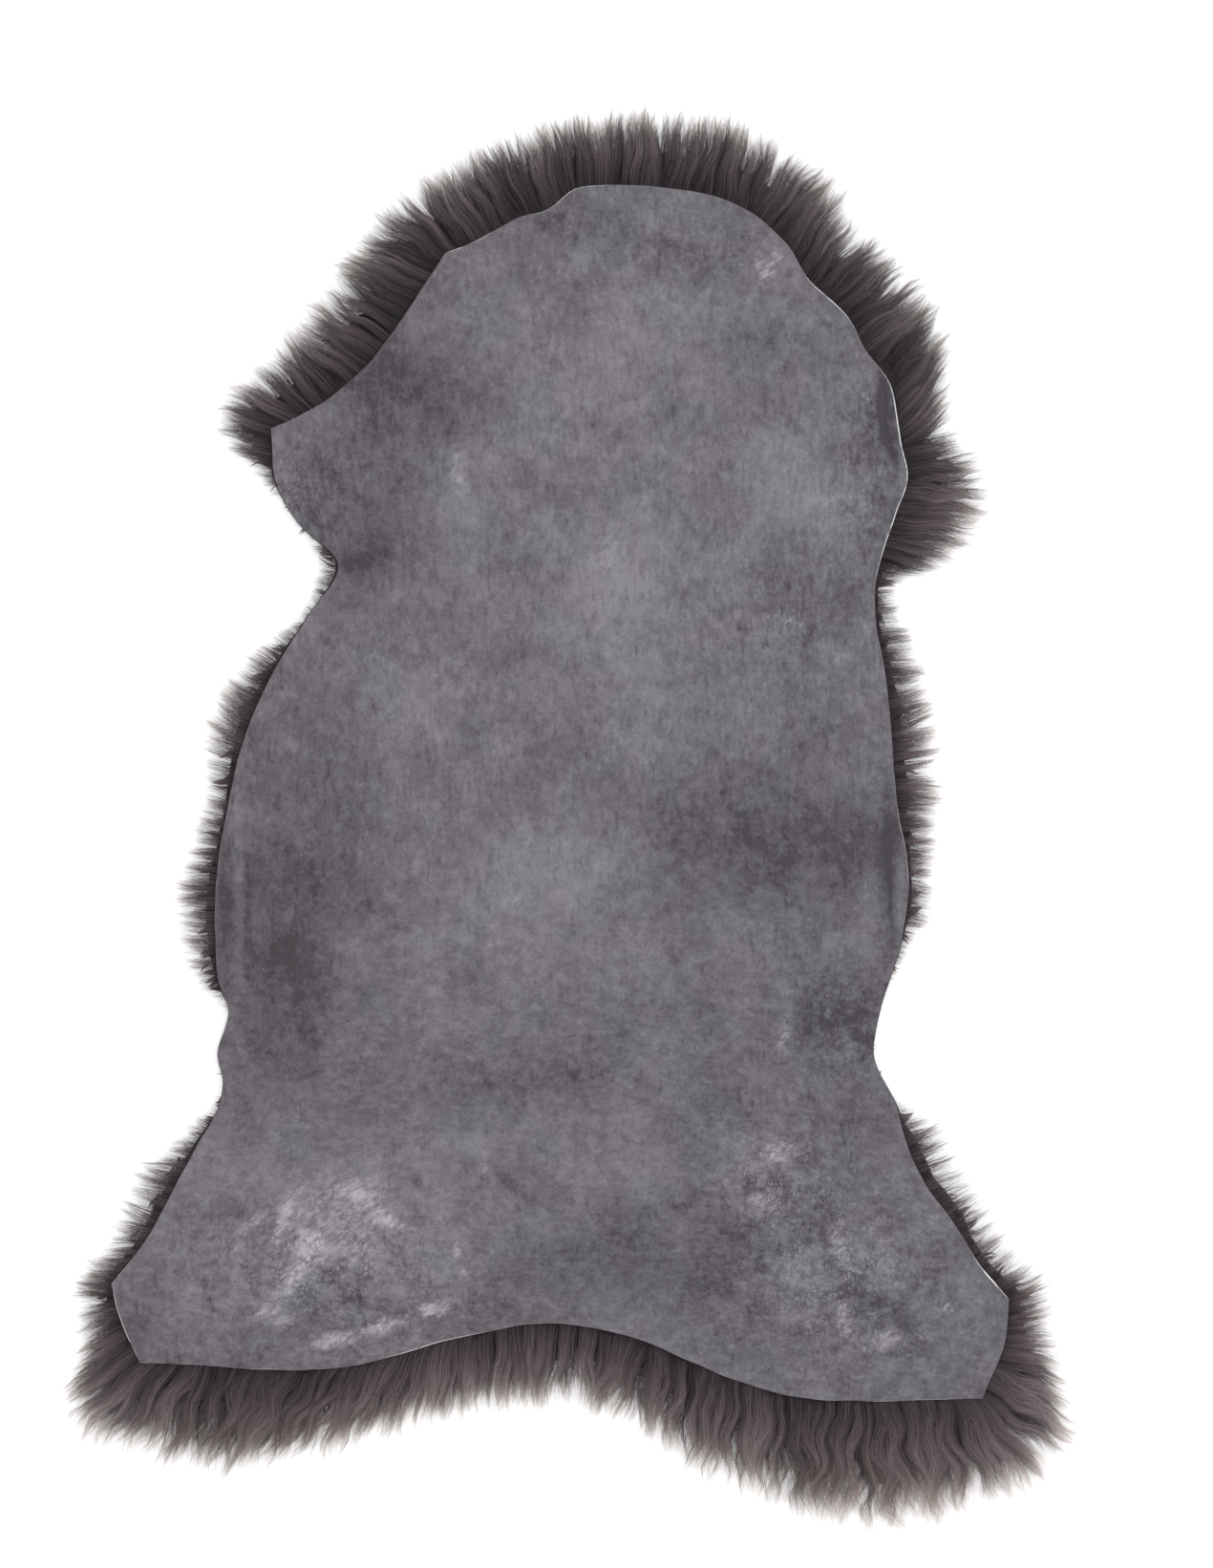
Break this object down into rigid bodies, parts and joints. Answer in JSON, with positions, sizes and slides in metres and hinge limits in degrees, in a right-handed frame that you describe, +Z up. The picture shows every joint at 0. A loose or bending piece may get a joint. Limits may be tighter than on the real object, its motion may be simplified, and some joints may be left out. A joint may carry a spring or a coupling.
{
  "type": "sheepskin",
  "caption": "Long-wool sheepskin laid wool side down: a thin suede-finished hide of natural cut outline over its fleece, whose combed locks fan out past the cut edge.",
  "frame": {"origin": "on the surface that the skin lies on, under the middle of its outline", "axes": "+Y to the neck end, +X to the right seen from above, +Z up out of the suede side"},
  "size_m": [0.7326, 1.0322, 0.047],
  "materials": {
    "suede": "tanned flesh side, buffed to a matt grey suede with a pale cut edge",
    "wool": "long combed wool on the skin, dark taupe at the roots and paler at the tips"
  },
  "bodies": {
    "root": {"hide": "suede", "fleece": "wool"}
  },
  "joints": []
}
